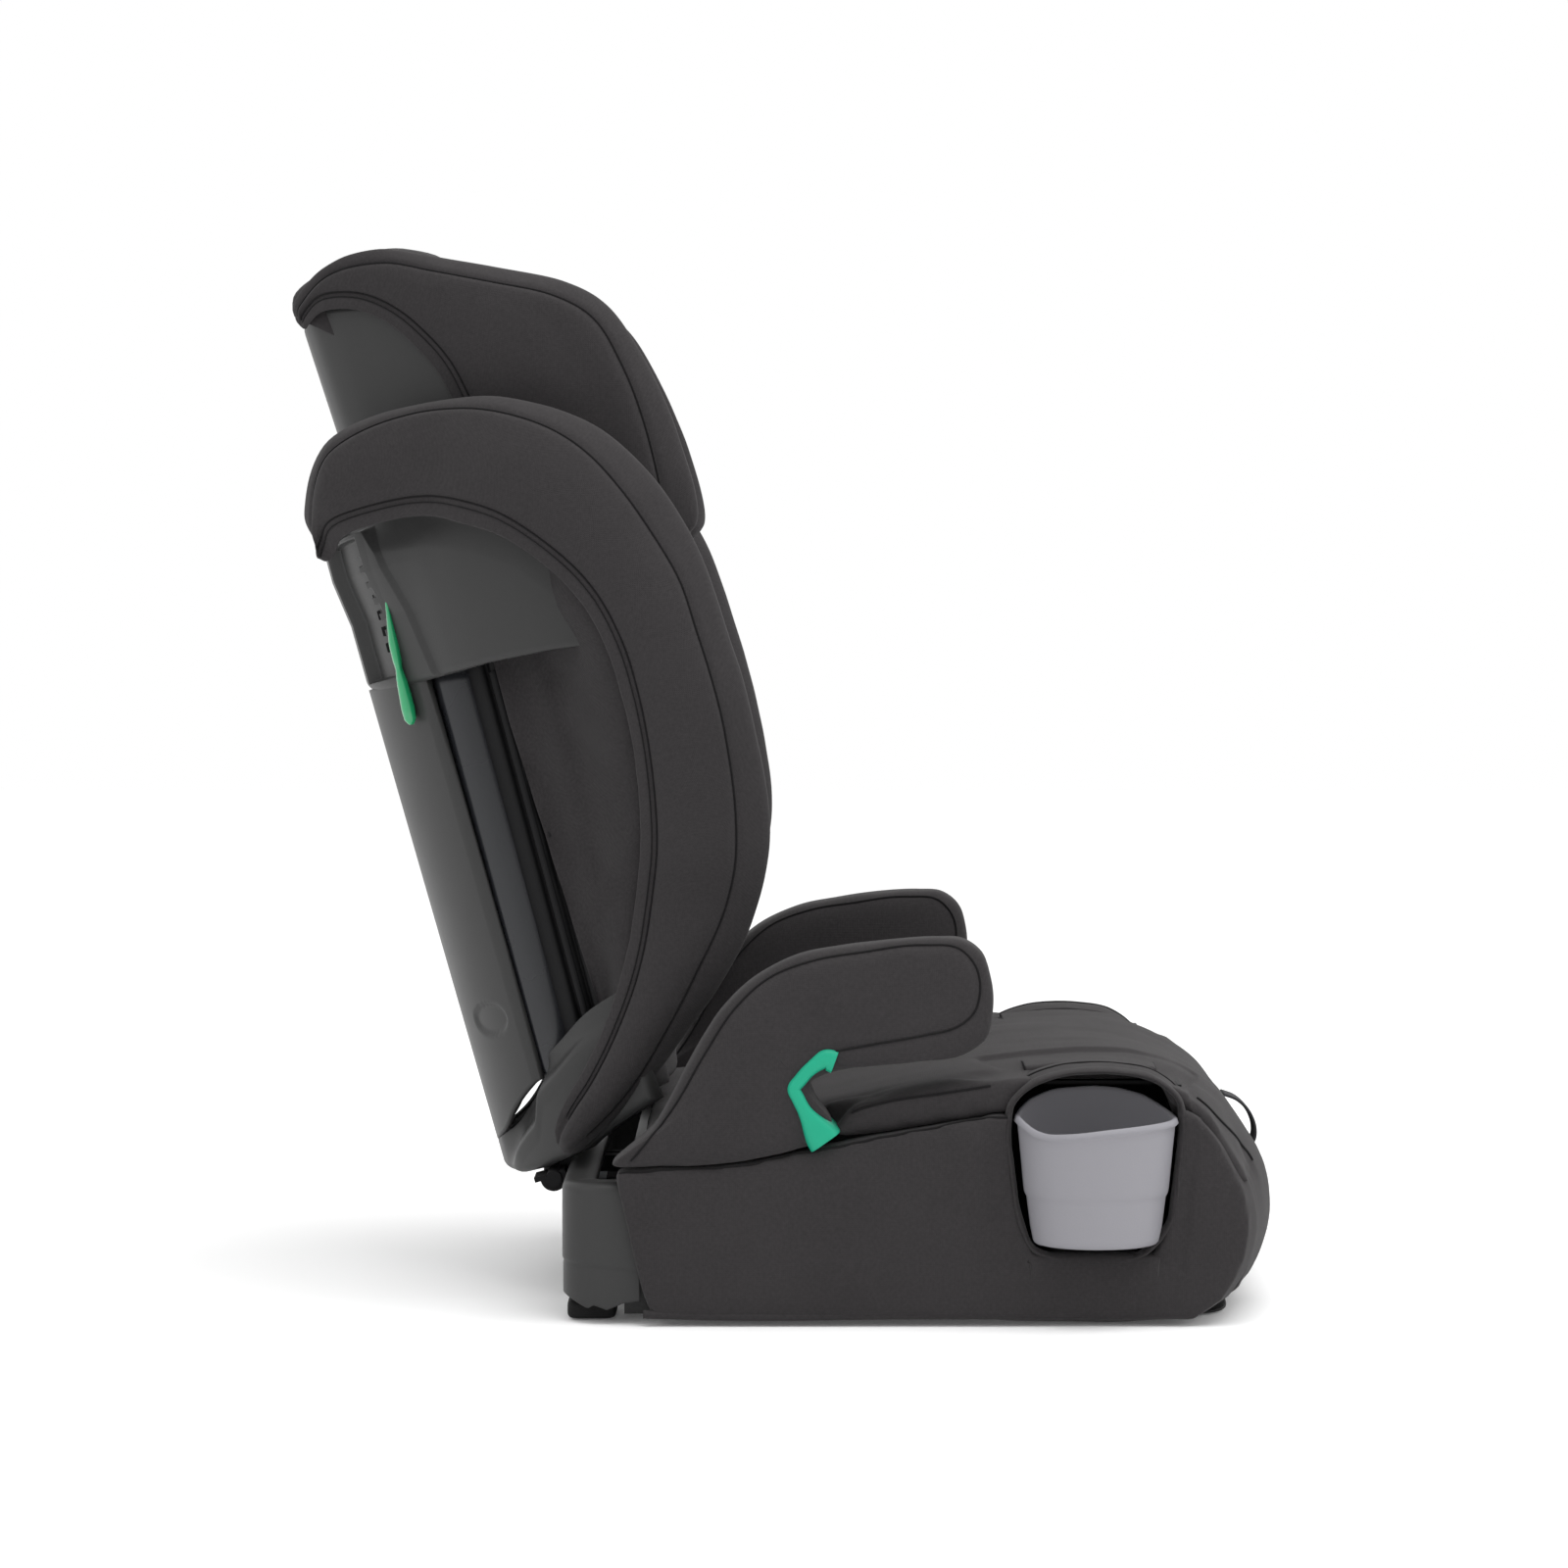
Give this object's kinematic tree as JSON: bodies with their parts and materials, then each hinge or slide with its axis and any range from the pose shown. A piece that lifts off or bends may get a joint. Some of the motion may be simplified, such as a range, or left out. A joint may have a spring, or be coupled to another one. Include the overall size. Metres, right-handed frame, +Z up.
{
  "type": "booster seat",
  "caption": "High-back child booster seat: padded base with armrests and slide-out cup holders, leaning winged back and a height-adjustable winged headrest.",
  "frame": {"origin": "middle of the base's flat underside, on the surface that the seat stands on", "axes": "+Z up, the occupant faces -Y, the occupant's left is +X"},
  "size_m": [0.487, 0.6243, 0.6599],
  "materials": {
    "charcoal_fabric": "matte knitted fabric",
    "shell_plastic": "fine-grained satin",
    "black_plastic": "matte",
    "teal_guide": "satin",
    "release_green": "gloss",
    "cup_grey": "satin",
    "steel": "zinc plated",
    "rubber_foot": "matte",
    "webbing": "woven"
  },
  "bodies": {
    "base": {"base_shell": "shell_plastic", "base_floor": "shell_plastic", "base_rear_cover": "shell_plastic", "foot_left": "rubber_foot", "foot_right": "rubber_foot", "seat_pad": "charcoal_fabric", "side_panel_left": "charcoal_fabric", "side_panel_right": "charcoal_fabric", "armrest_left": "charcoal_fabric", "armrest_right": "charcoal_fabric", "belt_guide_left": "teal_guide", "belt_guide_right": "teal_guide", "cup_pocket_left": "black_plastic", "cup_pocket_right": "black_plastic", "hinge_pin": "steel"},
    "cup_holder_left": {"cup_left": "cup_grey", "cup_carrier_left": "black_plastic"},
    "cup_holder_right": {"cup_right": "cup_grey", "cup_carrier_right": "black_plastic"},
    "connectors": {"connector_arm_left": "steel", "connector_arm_right": "steel", "connector_bar": "steel", "connector_head_left": "black_plastic", "connector_head_right": "black_plastic"},
    "button_left": {"connector_button_left": "release_green"},
    "button_right": {"connector_button_right": "release_green"},
    "jaw_left": {"connector_jaw_left": "steel"},
    "jaw_right": {"connector_jaw_right": "steel"},
    "pull_strap": {"pull_loop": "webbing"},
    "back": {"back_hook_left": "black_plastic", "back_hook_right": "black_plastic", "lower_shell": "shell_plastic", "column_cover": "shell_plastic", "side_rail_left": "shell_plastic", "side_rail_right": "shell_plastic", "spine_plate": "black_plastic", "cover_rod_left": "black_plastic", "cover_rod_right": "black_plastic", "housing": "shell_plastic", "housing_plate": "black_plastic", "back_pad": "charcoal_fabric", "wing_web_left": "charcoal_fabric", "wing_web_right": "charcoal_fabric", "wing_roll_left": "charcoal_fabric", "wing_roll_right": "charcoal_fabric"},
    "release": {"release_lever_left": "release_green", "release_lever_right": "release_green", "lever_shaft": "steel", "lock_pawl": "steel"},
    "headrest": {"headrest_shell": "shell_plastic", "headrest_post": "black_plastic", "headrest_rack_left": "black_plastic", "headrest_rack_right": "black_plastic", "headrest_pad": "charcoal_fabric", "headrest_wing_left": "charcoal_fabric", "headrest_wing_right": "charcoal_fabric", "belt_clip_left": "teal_guide", "belt_clip_right": "teal_guide"}
  },
  "joints": [
    {"name": "back_tilt", "type": "hinge", "parent": "base", "child": "back", "pos_m": [0, 0.233, 0.075], "axis": [1, 0, 0], "range_deg": [-12, 6]},
    {"name": "headrest_slide", "type": "slide", "parent": "back", "child": "headrest", "axis": [0, 0.2588, 0.9659], "range_m": [0, 0.15]},
    {"name": "release_squeeze", "type": "hinge", "parent": "back", "child": "release", "pos_m": [0, 0.33361, 0.43365], "axis": [1, 0, 0], "range_deg": [0, 14], "stiffness_Nm_per_rad": 0.9, "springref_deg": -6.88},
    {"name": "cup_slide_left", "type": "slide", "parent": "base", "child": "cup_holder_left", "axis": [1, 0, 0], "range_m": [-0.046, 0]},
    {"name": "cup_slide_right", "type": "slide", "parent": "base", "child": "cup_holder_right", "axis": [-1, 0, 0], "range_m": [-0.046, 0]},
    {"name": "connector_slide", "type": "slide", "parent": "base", "child": "connectors", "axis": [0, 1, 0], "range_m": [0, 0.09]},
    {"name": "button_press_left", "type": "slide", "parent": "connectors", "child": "button_left", "axis": [-1, 0, 0], "range_m": [0, 0.004], "stiffness_N_per_m": 600, "springref_m": -0.002},
    {"name": "button_press_right", "type": "slide", "parent": "connectors", "child": "button_right", "axis": [1, 0, 0], "range_m": [0, 0.004], "stiffness_N_per_m": 600, "springref_m": -0.002},
    {"name": "jaw_open_left", "type": "hinge", "parent": "connectors", "child": "jaw_left", "pos_m": [0.14, 0.185, 0.052], "axis": [1, 0, 0], "range_deg": [0, 18.5]},
    {"name": "jaw_open_right", "type": "hinge", "parent": "connectors", "child": "jaw_right", "pos_m": [-0.14, 0.185, 0.052], "axis": [1, 0, 0], "range_deg": [0, 18.5]},
    {"name": "strap_pull", "type": "slide", "parent": "base", "child": "pull_strap", "axis": [0, -1, 0], "range_m": [0, 0.012], "stiffness_N_per_m": 300, "springref_m": -0.003}
  ],
  "couplings": [
    {"joint": "jaw_open_left", "follows": "button_press_left", "rad_per_m": 78.5},
    {"joint": "jaw_open_right", "follows": "button_press_right", "rad_per_m": 78.5}
  ]
}
